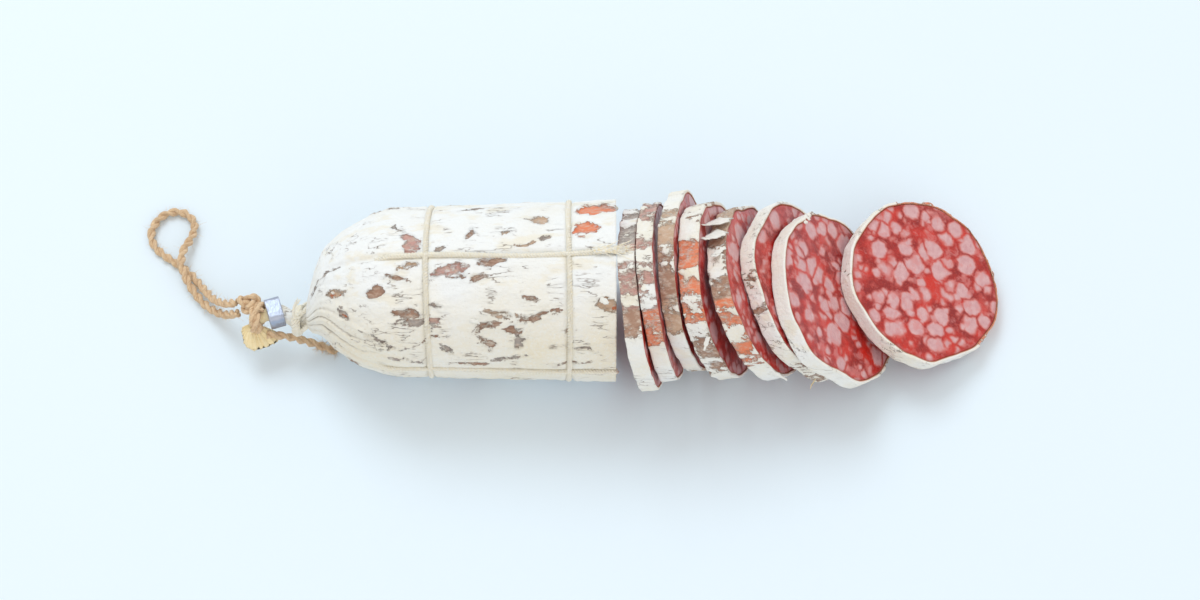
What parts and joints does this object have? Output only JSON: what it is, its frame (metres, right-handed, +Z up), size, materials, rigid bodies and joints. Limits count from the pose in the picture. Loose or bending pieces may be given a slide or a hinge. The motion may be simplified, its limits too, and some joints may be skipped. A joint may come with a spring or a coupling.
{
  "type": "cured sausage",
  "caption": "Dry-cured sausage in a mould-covered casing and string net, with a clipped neck and twine loop, its cut half standing as slices that lean on the cut face.",
  "frame": {"origin": "on the table, under the middle of everything but the free twine", "axes": "+X runs along the sausage from the neck to the slices, -Y is the front, +Z is up"},
  "size_m": [0.2498, 0.0689, 0.0498],
  "materials": {
    "meat": "moist, mottled with fat",
    "casing": "dry, powdery mould",
    "net_string": "matte",
    "clip_metal": "satin",
    "twine": "rough, fibrous"
  },
  "bodies": {
    "root": {"sausage_filling": "meat", "sausage_casing": "casing", "netting": "net_string", "clip": "clip_metal", "twine_knot": "twine", "slice_1_meat": "meat", "slice_1_rind": "casing", "slice_2_meat": "meat", "slice_2_rind": "casing", "slice_3_meat": "meat", "slice_3_rind": "casing", "slice_4_meat": "meat", "slice_4_rind": "casing", "slice_5_meat": "meat", "slice_5_rind": "casing", "slice_6_meat": "meat", "slice_6_rind": "casing", "slice_7_meat": "meat", "slice_7_rind": "casing", "slice_8_meat": "meat", "slice_8_rind": "casing", "hanging_loop": "twine", "twine_tail": "twine"}
  },
  "joints": []
}
